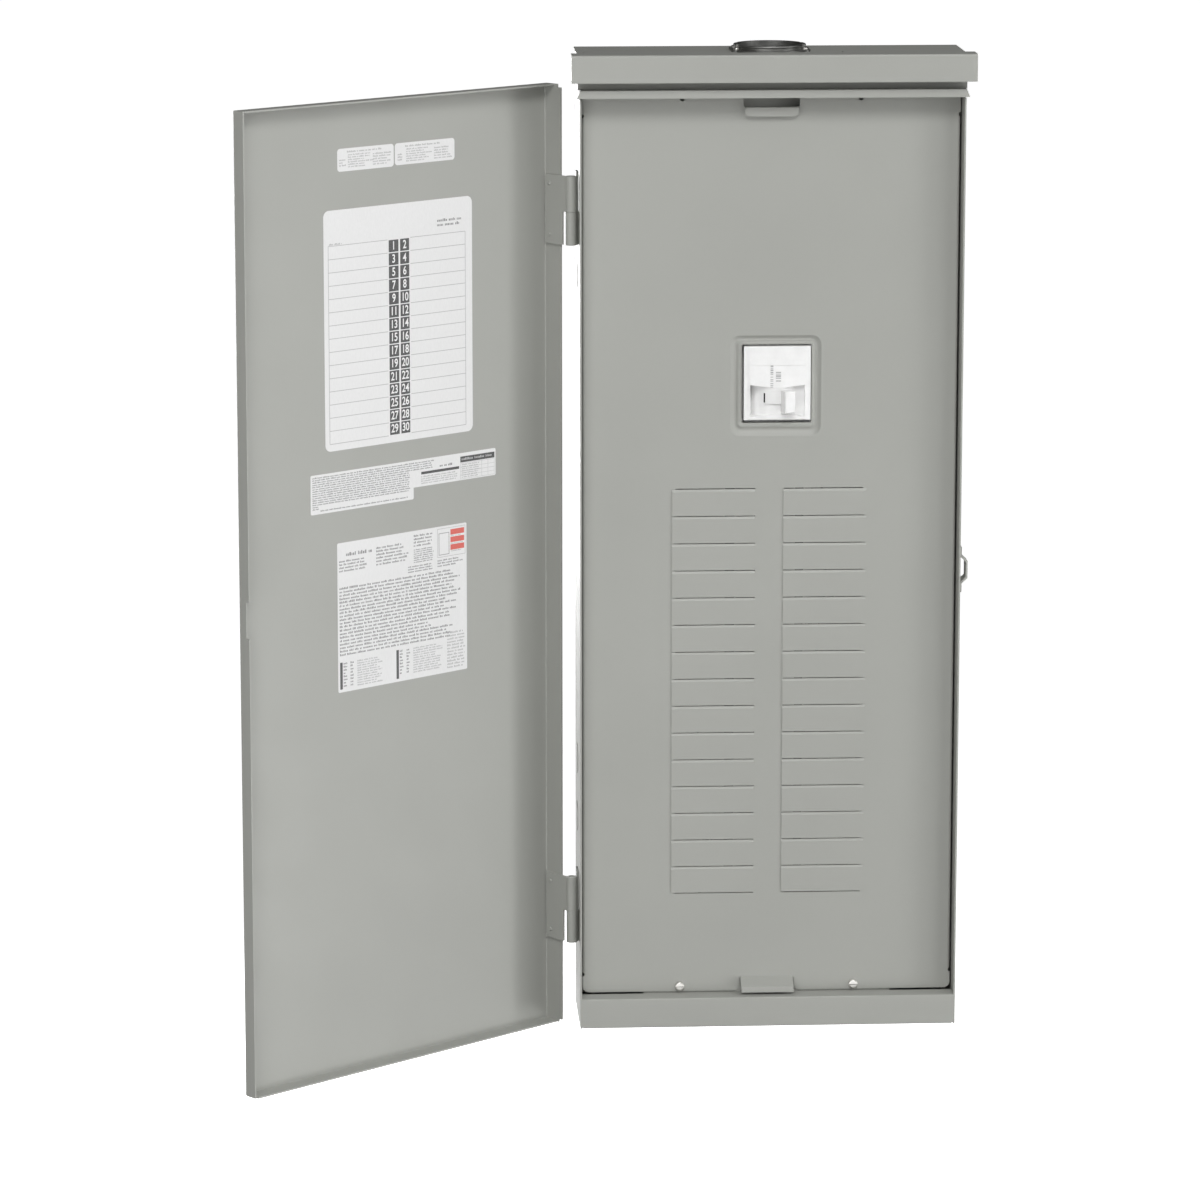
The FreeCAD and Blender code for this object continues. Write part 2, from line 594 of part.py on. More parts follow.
def labels():
    small = [card(*SMALL_LABELS[0], 3.0), card(*SMALL_LABELS[1], 3.0)]
    add("small_data_labels", *[opened(label) for label in small])
    add("circuit_directory_card", opened(card(*DIRECTORY, 6.0)))
    wide = card(*WIRING_LABEL[0], 1.5).fuse(card(*WIRING_LABEL[1], 1.5))
    add("wiring_data_label", opened(wide.removeSplitter()))
    add("instruction_label", opened(card(*INSTRUCTIONS, 1.5)))


# ---- main breaker ----
def main_breaker_base():
    x0, x1 = MAIN_X - MAIN_HALF_W, MAIN_X + MAIN_HALF_W
    low, high = MAIN_Z
    shelf_low, shelf_high = MAIN_COVER_TOP, MAIN_COVER_TOP + MAIN_WALL
    floor = MAIN_BACK - MAIN_WALL
    play = 0.3
    case = box(x0, x1, MAIN_SPLIT, MAIN_BACK, low, high)
    for side in (-1, 1):
        a, b = sorted((MAIN_X + side * MAIN_WALL / 2, MAIN_X + side * (MAIN_HALF_W - MAIN_WALL)))
        case = case.cut(box(a, b, MAIN_SPLIT - 1, floor, low + MAIN_WALL, shelf_low))
        case = case.cut(box(a, b, MAIN_SPLIT - 1, floor, shelf_high, high + 1))
        middle = MAIN_X + side * POLE_X
        half = STRAP_HALF + play
        strap_y = (floor - STRAP - play, floor)
        case = case.cut(box(middle - half, middle + half, *strap_y, shelf_low - 1, shelf_high + 1))
        a, b = sorted((side * BUS_X[0], side * BUS_X[1]))
        bus_y = (BUS_Y[0] - play, BUS_Y[1] + play)
        case = case.cut(box(a - play, b + play, *bus_y, low - 1, low + MAIN_WALL + 1))
    room = 9.0
    case = case.cut(box(MAIN_X - MAIN_WALL, MAIN_X + MAIN_WALL, MAIN_SPLIT - 1, CROSSBAR_Y + room,
                        CROSSBAR_Z - room, CROSSBAR_Z + room))
    half = STUB_R + play
    bearing_y = (CROSSBAR_Y - half, CROSSBAR_Y + half)
    case = case.cut(box(x0 - 1, x1 + 1, *bearing_y, CROSSBAR_Z - half, CROSSBAR_Z + half))
    add("main_breaker_base", case)


def handle_recess():
    """Space round the handle: a bow-tie seen from the front, over a floor that bulges about the pivot."""
    half = 25.0
    bow = [(MAIN_X - half, 571.5), (MAIN_X, 574.3), (MAIN_X + half, 571.5),
           (MAIN_X + half, 601.0), (MAIN_X, 597.6), (MAIN_X - half, 601.0)]
    hollow = prism([(x, MAIN_FACE - 1, z) for x, z in bow], (0, 16.0, 0))
    ledge = box(MAIN_X + 14.0, MAIN_X + half + 1, MAIN_FACE + 5.0, MAIN_SHOULDER, 565.0, 610.0)
    return hollow.cut(rod((MAIN_X, HANDLE_Y, 565.0), ARC_R, 45.0)).cut(ledge)


def cover_shell():
    """Low moulded lid over the works, with the face block that fills the deadfront's window."""
    x0, x1 = MAIN_X - MAIN_HALF_W, MAIN_X + MAIN_HALF_W
    low = MAIN_Z[0]
    lid = box(x0, x1, MAIN_SHOULDER, MAIN_SPLIT, low, MAIN_COVER_TOP)
    lid = round_edges(lid, 2.0, lambda x, y, z, e: y < MAIN_SHOULDER + 0.1 and not along(e, 1))
    lid = lid.cut(box(x0 + MAIN_WALL, x1 - MAIN_WALL, MAIN_SHOULDER + MAIN_WALL, MAIN_SPLIT + 1,
                      low + MAIN_WALL, MAIN_COVER_TOP - MAIN_WALL))
    fx0, fx1, fz0, fz1 = FACE_BLOCK
    block = box(fx0, fx1, MAIN_FACE, MAIN_SHOULDER + MAIN_WALL, fz0, fz1)
    block = round_edges(block, 1.0, lambda x, y, z, e: y < MAIN_FACE + 0.1 and not along(e, 1))
    step = 4.4
    for side, edge in ((1, fx0), (-1, fx1)):
        a, b = sorted((edge - side, edge + side * step))
        block = block.cut(box(a, b, MAIN_FACE - 1, MAIN_FACE + 0.8, fz0 - 1, fz1 + 1))
    shell = fuse([lid, block])
    return shell.cut(box(fx0 - 1, fx1 + 1, MAIN_FACE - 1, MAIN_FACE + 0.5, SEAM_Z, SEAM_Z + 0.6))


def main_breaker_cover():
    low, high = HANDLE_Z
    inside = MAIN_SHOULDER + MAIN_WALL
    case = cover_shell()
    slot_low, slot_high = NECK_Z[0] - 1, NECK_Z[1] + 1
    waste = [
        box(MAIN_X - 26, MAIN_X + 26, MAIN_FACE + MAIN_WALL, inside + 1, 605.5, 633.0),
        rod((MAIN_X, HANDLE_Y, low - 2.0), ARC_R - 2.0, 24.5),
        box(MAIN_X - 20, MAIN_X + 20, MAIN_SHOULDER - 1, MAIN_SPLIT + 1, low - 2.0, high + 6.5),
        handle_recess(),
        box(MAIN_X - SLOT_HALF, MAIN_X + SLOT_HALF, MAIN_FACE - 2, MAIN_FACE + 8, slot_low, slot_high),
    ]
    for piece in waste:
        case = case.cut(piece)
    half = 6.0
    back = HANDLE_Y + 5
    for z0, z1, web0, web1 in ((570.0, low - 0.4, 570.0, 575.5), (high + 0.4, 602.0, 600.0, 606.0)):
        case = case.fuse(box(MAIN_X - half, MAIN_X + half, MAIN_SHOULDER + 1, back, z0, z1))
        case = case.fuse(box(MAIN_X - half, MAIN_X + half, MAIN_SHOULDER + 0.5, back, web0, web1))
    pin = rod((MAIN_X, HANDLE_Y, 572.0), HANDLE_PIN_R, 28.0)
    add("main_breaker_cover", case.cut(pin).removeSplitter())
    add("handle_pivot_pin", pin)


def thrown(shape):
    """Turns the handle from its middle to the side where it rests."""
    turned = shape.copy()
    turned.rotate(FreeCAD.Vector(MAIN_X, HANDLE_Y, 0), FreeCAD.Vector(0, 0, 1), HANDLE_ANGLE)
    return turned


def handle_shield():
    """Curved skirt on the handle's free side that closes the slot in the recess floor."""
    low, tall = 583.5, 12.6
    ring = rod((MAIN_X, HANDLE_Y, low), ARC_R + 1.6, tall)
    ring = ring.cut(rod((MAIN_X, HANDLE_Y, low - 0.5), ARC_R + 0.4, tall + 1.4))
    reach = math.radians(43.0)
    far = 40.0
    wedge = [(MAIN_X, HANDLE_Y), (MAIN_X - far * math.sin(reach), HANDLE_Y - far * math.cos(reach)),
             (MAIN_X - far * 0.4, HANDLE_Y - far * 1.2), (MAIN_X + 2.0, HANDLE_Y - far)]
    return ring.common(prism([(x, y, low - 0.5) for x, y in wedge], (0, 0, tall + 1.4)))


def main_breaker_handle():
    low, high = HANDLE_Z
    hub = rod((MAIN_X, HANDLE_Y, low), 7.5, high - low)
    neck = box(MAIN_X - 2.5, MAIN_X + 2.5, -80.0, HANDLE_Y, *NECK_Z)
    half = 5.2
    lever = box(MAIN_X - half, MAIN_X + half, LEVER_FRONT, LEVER_FRONT + 9.6, 575.6, 596.0)
    lever = round_edges(lever, 1.6, lambda x, y, z, e: y < LEVER_FRONT + 0.1 and not along(e, 1))
    lever = lever.cut(rod((MAIN_X + half + 8.0, LEVER_FRONT + 3.5, 575.0), 9.0, 22.0))
    body = fuse([hub, neck, lever, handle_shield()])
    body = body.cut(rod((MAIN_X, HANDLE_Y, low - 1), HANDLE_PIN_R + PIN_RUNNING, high - low + 2))
    add("main_breaker_handle", thrown(body))


def hex_socket(x, y, z, radius, depth):
    corners = [(x + radius * math.cos(math.radians(a)), y - 0.5, z + radius * math.sin(math.radians(a)))
               for a in range(0, 360, 60)]
    return prism(corners, (0, depth + 0.5, 0))


def wire_lug(x, back, half_w, low, high, screw_z):
    """Box lug that stands out from back: its body with the wire bore and the tapped hole, and its screw."""
    front = back - LUG_DEPTH
    body = box(x - half_w, x + half_w, front, back, low, high)
    body = body.cut(rod((x, back - LUG_R - 2.0, low - 1), LUG_R, high - low + 2))
    body = body.cut(rod((x, front - 0.5, screw_z), LUG_SCREW_R, 8.0, (0, 1, 0)))
    proud = 3.0
    screw = rod((x, front - proud, screw_z), LUG_SCREW_R, 6.5, (0, 1, 0))
    return body, screw.cut(hex_socket(x, front - proud, screw_z, 2.6, 3.0))


def arc_chute(x, back):
    """Stack of slotted plates held between two cheeks."""
    cheek_x = 11.0
    pieces = []
    for n in range(5):
        z = CROSSBAR_Z + 64 + n * 3.2
        plate = box(x - cheek_x, x + cheek_x, back - 18.0, back, z, z + 1.2)
        pieces.append(plate.cut(box(x - 3, x + 3, back - 19.0, back - 8.0, z - 1, z + 3)))
    for edge in (-1, 1):
        a, b = sorted((x + edge * cheek_x, x + edge * (cheek_x + 1.2)))
        pieces.append(box(a, b, back - 18.0, back, CROSSBAR_Z + 63, CROSSBAR_Z + 79))
    return fuse(pieces)


def breaker_poles():
    """For each pole: the moving arm, the fixed terminal with its contact, the line lug and the arc chute."""
    strap_back = MAIN_BACK - MAIN_WALL
    strap_front = strap_back - STRAP
    arm_back = CROSSBAR_Y + 8.5
    contact_z = CROSSBAR_Z + 50
    arms = []
    terminals = []
    lugs = []
    lug_screws = []
    chutes = []
    for side in (-1, 1):
        x = MAIN_X + side * POLE_X
        arm = box(x - 4, x + 4, arm_back - 3.0, arm_back, CROSSBAR_Z - 5, CROSSBAR_Z + 55)
        button = rod((x, arm_back, contact_z), CONTACT_R, 1.0, (0, 1, 0))
        arms.append(fuse([arm, button]))
        strap = box(x - STRAP_HALF, x + STRAP_HALF, strap_front, strap_back, contact_z - 7, MAIN_Z[1] - 2)
        pad_front = arm_back + 1.2
        pad = rod((x, pad_front, contact_z), CONTACT_R, strap_front - pad_front, (0, 1, 0))
        terminals.append(fuse([strap, pad]))
        lug, screw = wire_lug(x, strap_front, 9.0, MAIN_COVER_TOP + 5, MAIN_Z[1] - 1, MAIN_COVER_TOP + 20)
        lugs.append(lug)
        lug_screws.append(screw)
        chutes.append(arc_chute(x, strap_back - STRAP - 1.0))
    add("moving_contacts", *arms)
    add("line_terminals", *terminals)
    add("line_lugs", *lugs)
    add("line_lug_screws", *lug_screws)
    add("arc_chutes", *chutes)


def contact_crossbar():
    reach = MAIN_HALF_W - 5.0
    bar = rod((MAIN_X - reach, CROSSBAR_Y, CROSSBAR_Z), CROSSBAR_R, 2 * reach, (1, 0, 0))
    stub_reach = MAIN_HALF_W - 0.5
    stub = rod((MAIN_X - stub_reach, CROSSBAR_Y, CROSSBAR_Z), STUB_R, 2 * stub_reach, (1, 0, 0))
    carriers = []
    for side in (-1, 1):
        x = MAIN_X + side * POLE_X
        carriers.append(box(x - 6, x + 6, CROSSBAR_Y, CROSSBAR_Y + 5.5, CROSSBAR_Z - 5, CROSSBAR_Z + 8))
    add("contact_crossbar", fuse([bar, stub] + carriers))


# ---- interior ----
def interior_pan():
    floor = box(-PAN_HALF_W, PAN_HALF_W, PAN_FRONT, PAN_FRONT + SHEET, *PAN_Z)
    leg = box(PAN_HALF_W - SHEET, PAN_HALF_W, PAN_FRONT, -SHEET, *PAN_Z)
    pan = fuse([floor] + both_sides(leg))
    screws = []
    for x, z in PAN_SCREWS:
        pan = pan.cut(rod((x, PAN_FRONT - 1, z), 2.0, 5.0, (0, 1, 0)))
        head = slotted_head((x, PAN_FRONT, z), 4.5, 2.5, (0, -1, 0), 1.2)
        screws.append(fuse([head, rod((x, PAN_FRONT, z), 2.0, -PAN_FRONT - 0.3, (0, 1, 0))]))
    add("interior_pan", pan)
    add("interior_screws", *screws)


def bus_insulator():
    low, high = ROWS_TOP - ROWS * ROW_PITCH - 5, ROWS_TOP + 7
    base = box(-36.0, 36.0, BUS_Y[1], PAN_FRONT, low, high)
    ribs = []
    for row in range(ROWS + 1):
        z = ROWS_TOP - row * ROW_PITCH
        rib = box(30.0, 36.0, BUS_Y[1] - 8.0, BUS_Y[1], z - 1.2, z + 1.2)
        ribs.extend(both_sides(rib))
    base = fuse([base] + ribs)
    channel = box(-30.0, 30.0, -20.0, PAN_FRONT + 1, low + 8, high - 8)
    add("bus_insulator", base.cut(channel))


def bus_bars():
    low = ROWS_TOP - ROWS * ROW_PITCH
    rows = {"bus_bar_left": (-1, 0), "bus_bar_right": (1, 1)}
    for name, (side, first) in rows.items():
        a, b = sorted((side * BUS_X[0], side * BUS_X[1]))
        solids = [box(a, b, BUS_Y[0], BUS_Y[1], low, BUS_END)]
        for row in range(first, ROWS, 2):
            z = ROWS_TOP - (row + 0.5) * ROW_PITCH
            c, d = sorted((side * BUS_X[0], -side * 6.0))
            solids.append(box(c, d, BUS_Y[0], BUS_Y[1], z - 6.0, z + 6.0))
            blade = box(-1.2, 1.2, STAB_TOP, BUS_Y[0], z - 6.0, z + 6.0)
            solids.append(round_edges(blade, 2.0, lambda x, y, z, e: along(e, 0) and y < STAB_TOP + 0.1))
        add(name, fuse(solids))


def breaker_rails():
    low, high = ROWS_TOP - ROWS * ROW_PITCH - 5, ROWS_TOP + 5
    foot = box(66.0, 90.0, PAN_FRONT - SHEET, PAN_FRONT, low, high)
    rise = box(84.0, 84.0 + SHEET, -34.0, PAN_FRONT, low, high)
    hook = box(76.0, 84.0 + SHEET, -35.5, -34.0, low, high)
    rail = fuse([foot, rise, hook])
    add("breaker_rail_right", rail)
    add("breaker_rail_left", mirrored(rail))


def terminal_bar(x0, x1, y0, y1, z0, z1, ways, first):
    """Bar with a row of wire holes along X and a clamping screw over each one."""
    bar = box(x0, x1, y0, y1, z0, z1)
    middle = (x0 + x1) / 2
    screws = []
    cuts = []
    for n in range(ways):
        z = first + n * WAY_PITCH
        cuts.append(rod((x0 - 1, y1 - 4.2, z), WAY_R, x1 - x0 + 2, (1, 0, 0)))
        cuts.append(rod((middle, y0 - 1, z), BAR_SCREW_R, 4.0, (0, 1, 0)))
        head = slotted_head((middle, y0, z), 3.2, 2.2, (0, -1, 0), 1.0)
        screws.append(fuse([head, rod((middle, y0, z), BAR_SCREW_R, 2.8, (0, 1, 0))]))
    return bar.cut(Part.makeCompound(cuts)), screws


def neutral_bars():
    x0, x1 = NEUTRAL_X
    y0, y1 = NEUTRAL_Y
    middle = (x0 + x1) / 2
    low = 140.0
    top = {-1: 530.0, 1: 566.0}
    bonding_z = 548.0
    bonding_r = 2.6
    screws = []
    standoffs = []
    for side, name in ((-1, "neutral_bar_left"), (1, "neutral_bar_right")):
        a, b = sorted((side * x0, side * x1))
        bar, heads = terminal_bar(a, b, y0, y1, low, top[side], NEUTRAL_WAYS, low + 10.0)
        screws.extend(heads)
        if side > 0:
            bar = bar.cut(rod((middle, y0 - 1, bonding_z), bonding_r, 20.0, (0, 1, 0)))
        add(name, bar)
        for z in (low + 20.0, 320.0, 500.0):
            standoffs.append(box(a - 1, b + 1, y1, -SHEET, z - 7.0, z + 7.0))
    add("neutral_bar_screws", *screws)
    add("neutral_standoffs", *standoffs)
    add("neutral_cross_strap", box(-x1, x1, y0 - 2.5, y0, 516.5, 528.5))

    head = slotted_head((middle, y0, bonding_z), 5.0, 2.5, (0, -1, 0), 1.2)
    shank = rod((middle, y0, bonding_z), bonding_r, -y0 - SHEET, (0, 1, 0))
    add("bonding_screw", fuse([head, shank]))
    lug, screw = wire_lug(middle - 1.5, y0, 9.5, 556.0, 588.0, 575.0)
    add("neutral_lug", lug)
    add("neutral_lug_screw", screw)


def ground_bar():
    x0, x1 = GROUND_X
    low = 300.0
    high = low + GROUND_WAYS * WAY_PITCH + 12.0
    bar, heads = terminal_bar(x0, x1, -22.0, -12.0, low, high, GROUND_WAYS, low + 16.0)
    add("ground_bar", bar)
    add("ground_bar_screws", *heads)
    feet = [box(x0, x1, -12.0, -SHEET, z, z + 10.0) for z in (low, high - 10.0)]
    add("ground_bar_feet", *feet)


enclosure_wrapper()
top_endwall()
rain_hood()
conduit_hub()
bottom_endwall()
deadfront()
deadfront_screws()
door()
hinges()
padlock_staple()
labels()
main_breaker_base()
main_breaker_cover()
main_breaker_handle()
breaker_poles()
contact_crossbar()
interior_pan()
bus_insulator()
bus_bars()
breaker_rails()
neutral_bars()
ground_bar()

os.makedirs("parts", exist_ok=True)
for name, shape in PARTS.items():
    placed = shape.copy()
    placed.translate(FreeCAD.Vector(0, 0, -ORIGIN_Z))
    placed.exportStep("parts/" + name + ".step")
    if not placed.isValid():
        print("invalid:", name)
print(len(PARTS), "nodes")
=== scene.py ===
import json
import math
import random

import bmesh
import bpy
from mathutils import Matrix, Vector


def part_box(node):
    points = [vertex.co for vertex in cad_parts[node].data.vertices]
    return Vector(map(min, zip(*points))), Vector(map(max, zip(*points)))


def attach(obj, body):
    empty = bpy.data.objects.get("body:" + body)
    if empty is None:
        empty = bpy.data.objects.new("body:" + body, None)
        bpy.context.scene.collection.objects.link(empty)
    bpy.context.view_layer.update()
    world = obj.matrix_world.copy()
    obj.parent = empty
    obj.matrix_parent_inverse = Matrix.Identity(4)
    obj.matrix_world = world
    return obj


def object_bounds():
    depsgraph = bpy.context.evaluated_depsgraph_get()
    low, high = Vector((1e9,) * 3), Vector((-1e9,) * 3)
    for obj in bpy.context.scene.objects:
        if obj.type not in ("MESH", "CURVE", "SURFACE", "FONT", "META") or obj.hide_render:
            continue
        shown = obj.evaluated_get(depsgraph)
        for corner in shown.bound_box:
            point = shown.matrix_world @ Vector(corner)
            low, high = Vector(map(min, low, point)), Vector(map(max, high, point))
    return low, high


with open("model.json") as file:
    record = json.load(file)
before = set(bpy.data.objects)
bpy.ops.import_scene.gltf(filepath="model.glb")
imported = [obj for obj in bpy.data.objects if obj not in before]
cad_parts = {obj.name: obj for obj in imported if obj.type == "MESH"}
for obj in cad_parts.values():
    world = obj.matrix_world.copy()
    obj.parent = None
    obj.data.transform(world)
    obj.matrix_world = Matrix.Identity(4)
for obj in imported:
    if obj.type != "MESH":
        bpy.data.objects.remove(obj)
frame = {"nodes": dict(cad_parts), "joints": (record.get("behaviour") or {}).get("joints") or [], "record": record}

CAD_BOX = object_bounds()
MM = 0.001
SCENE = bpy.context.scene
NODES = frame["nodes"]
JOINTS = {joint["name"]: joint for joint in frame["joints"]}

# ---------------------------------------------------------------- colours, linear
PAINT = (0.365, 0.370, 0.345)
ZINC = (0.70, 0.69, 0.66)
HUB = (0.27, 0.27, 0.26)
WHITE_MOULDING = (0.88, 0.88, 0.875)
BLACK_MOULDING = (0.018, 0.018, 0.019)
TIN = (0.62, 0.62, 0.61)
ALUMINIUM = (0.72, 0.72, 0.72)
COPPER = (0.78, 0.38, 0.22)
BOND_GREEN = (0.03, 0.22, 0.07)
CARD = (0.76, 0.76, 0.76)
INK_COLOURS = {
    "black": (0.012, 0.012, 0.013),
    "grey": (0.20, 0.20, 0.20),
    "line": (0.42, 0.42, 0.42),
    "red": (0.66, 0.075, 0.045),
    "white": (0.82, 0.82, 0.82),
}
FLOOR_DARKER = (0.88, 0.88, 0.88)
FLOOR_LIGHTER = (0.90, 0.90, 0.90)
WHITE = (1.0, 1.0, 1.0, 1.0)

# the part of a noise texture's range that holds most of its values
NOISE_RANGE = (0.3, 0.7)

# ---------------------------------------------------------------- camera, in metres, radians and mm of lens
CAMERA_PLACE = (-0.3908, -4.5382, 0.8651)
CAMERA_PITCH = -0.1779
CAMERA_YAW = -0.0527
CAMERA_LENS = 149.1
CAMERA_SENSOR = 36.0
CAMERA_SHIFT_Y = -0.10
CAMERA_NEAR = 0.1
CAMERA_FAR = 200.0

# ---------------------------------------------------------------- studio, in metres and watts
FLOOR_DROP = 0.6
FLOOR_REACH = 60.0
FLOOR_GLOW = 0.97
WORLD_STRENGTH = 0.05
NEUTRAL = (1.0, 1.0, 1.0)
WARM = (1.0, 0.97, 0.88)
# name, place, target, size, power, colour
LIGHTS = (
    ("key", (-0.66, -1.45, 0.15), (-0.22, 0.0, 0.0), (0.8, 1.8), 9.5, NEUTRAL),
    ("high_front", (0.3, -4.6, 4.2), (0.0, 0.0, 0.0), (1.8, 1.8), 150.0, NEUTRAL),
    ("overhead", (0.0, -1.3, 2.1), (-0.05, 0.0, 0.2), (1.6, 0.9), 4.0, NEUTRAL),
    ("top", (0.0, 0.1, 1.9), (0.0, 0.0, 0.4), (1.2, 0.5), 1.0, NEUTRAL),
    ("right_strip", (2.0, -0.95, 0.1), (-0.1, 0.0, 0.0), (0.5, 2.2), 11.0, NEUTRAL),
    ("right_wide", (1.9, -1.7, 0.2), (-0.1, 0.0, 0.0), (2.2, 2.4), 3.0, NEUTRAL),
    ("right_high", (1.2, -1.0, 1.2), (-0.2, 0.0, 0.3), (0.9, 0.7), 5.5, NEUTRAL),
    ("right_low", (1.2, -1.0, -0.75), (-0.2, 0.0, -0.3), (0.9, 0.5), 6.0, NEUTRAL),
    ("behind", (-0.9, 2.4, -0.15), (-0.1, 0.0, -0.05), (2.4, 0.8), 42.0, NEUTRAL),
    ("left_side", (-2.0, -1.0, 0.1), (-0.3, 0.0, 0.0), (0.8, 1.8), 2.0, WARM),
)

# ---------------------------------------------------------------- groove round the breaker's window, in mm
DEADFRONT_FACE_Y = -75.0
# the window's edges, from the handle's pivot
WINDOW_LEFT, WINDOW_RIGHT, WINDOW_BELOW, WINDOW_ABOVE = 32.2, 31.3, 20.0, 52.2
WINDOW_CORNER = 1.5
# how far the groove reaches past the window: left, right, below, above
GROOVE_WIDTHS = (11.0, 9.2, 12.1, 8.9)
GROOVE_CORNER = 9.0
# share of the way from the groove's outline to the window's edge, and depth behind the deadfront's face
GROOVE_PROFILE = (
    (-0.16, -0.02), (-0.10, -0.10), (-0.04, -0.18), (0.02, -0.10), (0.07, 0.25), (0.13, 0.75), (0.20, 1.35),
    (0.28, 1.95), (0.36, 2.4), (0.43, 2.62), (0.50, 2.55), (0.56, 2.2), (0.62, 1.6), (0.68, 1.05),
    (0.74, 0.75), (0.81, 0.62), (0.89, 0.62), (0.95, 0.72), (0.985, 0.95), (1.0, 1.3),
)
# depths at which the collar lines the window's edge, and its distance inside that edge
COLLAR_DEPTHS = (1.7, 2.8)
COLLAR_INSIDE = 0.02

# ---------------------------------------------------------------- marks on the main breaker's face, in mm
MARK_LIFT = 0.03
# left edge and lowest point, from the handle's pivot, then the column's length and its strokes' width
MARK_COLUMNS = ((-6.4, 13.2, 19.6, 2.6), (-1.4, 18.6, 8.4, 4.6))
MARK_HEIGHTS = (0.7, 1.0, 1.5)
MARK_GAPS = (0.7, 0.9, 1.6)

# ---------------------------------------------------------------- print on the cards, in mm
# u runs right and v down from a card's top left corner
PRINT_LIFT = 0.03
PRINT_THICKNESS = 0.04
OVERPRINT_LIFT = PRINT_LIFT + PRINT_THICKNESS
NUMBER_LIFT = PRINT_LIFT + 1.5 * PRINT_THICKNESS

# small strokes that stand for text, as shares of the pitch between lines
STROKE_WIDTH = 0.36
STROKE_WIDTH_SHARES = (0.55, 0.8, 1.0)
STROKE_HEIGHTS = (0.44, 0.44, 0.44, 0.62)
STROKE_GAP = 0.14
WORD_GAP = 0.42
WORD_STROKES = (2, 9)
BASELINE = 0.72

# circuit directory: the ruled field, the black number columns and the numbers in them
DIRECTORY_LEFT, DIRECTORY_RIGHT, DIRECTORY_TOP, DIRECTORY_FOOT = 5.0, 8.2, 31.5, 6.5
DIRECTORY_ROWS = 15
DIRECTORY_RULE = 0.55
DIRECTORY_HEADING = ("grey", 131.0, 17.5, 163.0, 2, 4.0, (0.8, 1.0))
NUMBER_COLUMNS = ((74.4, 85.6), (87.6, 98.0))
COLUMN_MARGIN = 1.5
NUMBER_BOX_INSET = 0.4
NUMBER_BOX_GAP = 0.9
NUMBER_SIZE = 10.4
NUMBER_NARROWING = 0.80
NUMBER_WEIGHT = 0.018

# blocks of text strokes: colour, left, top, right, lines, pitch and how full the lines are
WIRING_TEXT = (
    ("grey", 2.0, 1.8, 146.0, 4, 2.0, (0.96, 1.0)),
    ("grey", 2.0, 9.8, 116.0, 9, 2.0, (0.97, 1.0)),
    ("grey", 2.0, 27.8, 9.0, 2, 2.0, (0.97, 1.0)),
    ("grey", 11.0, 31.6, 113.0, 1, 2.2, (0.99, 1.0)),
    ("grey", 150.0, 7.0, 166.0, 1, 3.4, (0.9, 1.0)),
)
WIRING_NOTE_BAR = (128.0, 11.6, 173.0, 14.0)
WIRING_NOTE = ("line", 128.0, 15.2, 173.0, 4, 2.0, (0.9, 1.0))
WIRING_TABLE_HEAD = (174.5, 3.2, 215.5, 8.6)
WIRING_TABLE_TITLE = ("line", 176.0, 4.2, 214.0, 1, 3.4, (0.95, 1.0))
WIRING_TABLE_TEXT = ("line", 176.0, 9.9, 199.0, 7, 1.9, (0.85, 1.0))
WIRING_TABLE_ROWS = (9.4, 13.0, 16.6, 20.2, 23.6)
WIRING_TABLE_COLUMNS = (174.5, 200.0, 207.5, 215.2)
WIRING_TABLE_RIGHT, WIRING_TABLE_FOOT = 215.5, 23.8
WIRING_TABLE_RULE = 0.25

INSTRUCTION_HEADER = (
    ("grey", 10.0, 9.0, 40.0, 1, 5.0, (0.98, 1.0)),
    ("grey", 2.0, 15.6, 41.0, 4, 2.9, (0.7, 1.0)),
    ("grey", 45.0, 8.6, 84.0, 6, 3.0, (0.65, 1.0)),
    ("grey", 89.0, 3.4, 113.0, 4, 3.0, (0.85, 1.0)),
    ("grey", 89.0, 16.6, 113.0, 7, 1.9, (0.9, 1.0)),
    ("grey", 82.0, 31.4, 113.0, 3, 2.3, (0.5, 1.0)),
    ("grey", 117.0, 30.0, 150.0, 3, 2.5, (0.7, 1.0)),
)
NOTICE_BOX, NOTICE_LINE = (117.0, 2.0, 150.2, 28.4), 0.4
NOTICE_PANEL, PANEL_LINE = (118.6, 6.2, 131.0, 26.4), 0.5
RED_BAR_LEFT, RED_BAR_RIGHT, RED_BAR_HEIGHT = 132.5, 148.8, 5.0
RED_BAR_TOPS = (4.0, 11.0, 18.0)
PARAGRAPH_LEFT, PARAGRAPH_RIGHT, PARAGRAPH_PITCH = 2.0, 145.0, 3.15
# top, lines, how full the lines are
PARAGRAPHS = ((40.0, 7, (0.90, 1.0)), (62.0, 1, (0.97, 1.0)), (65.2, 4, (0.86, 0.98)),
              (78.0, 2, (0.88, 0.96)), (84.4, 5, (0.72, 0.97)), (100.2, 1, (0.9, 0.92)))
SIDE_NOTE = ("line", 128.0, 98.0, 150.0, 12, 2.9, (0.9, 1.0))
# left, right, top of the two lists at the foot, which start with a black bar
FOOT_LISTS = ((2.0, 62.0, 108.5), (67.6, 132.0, 106.5))
FOOT_BAR_WIDTH, FOOT_BAR_END = 2.9, 133.0


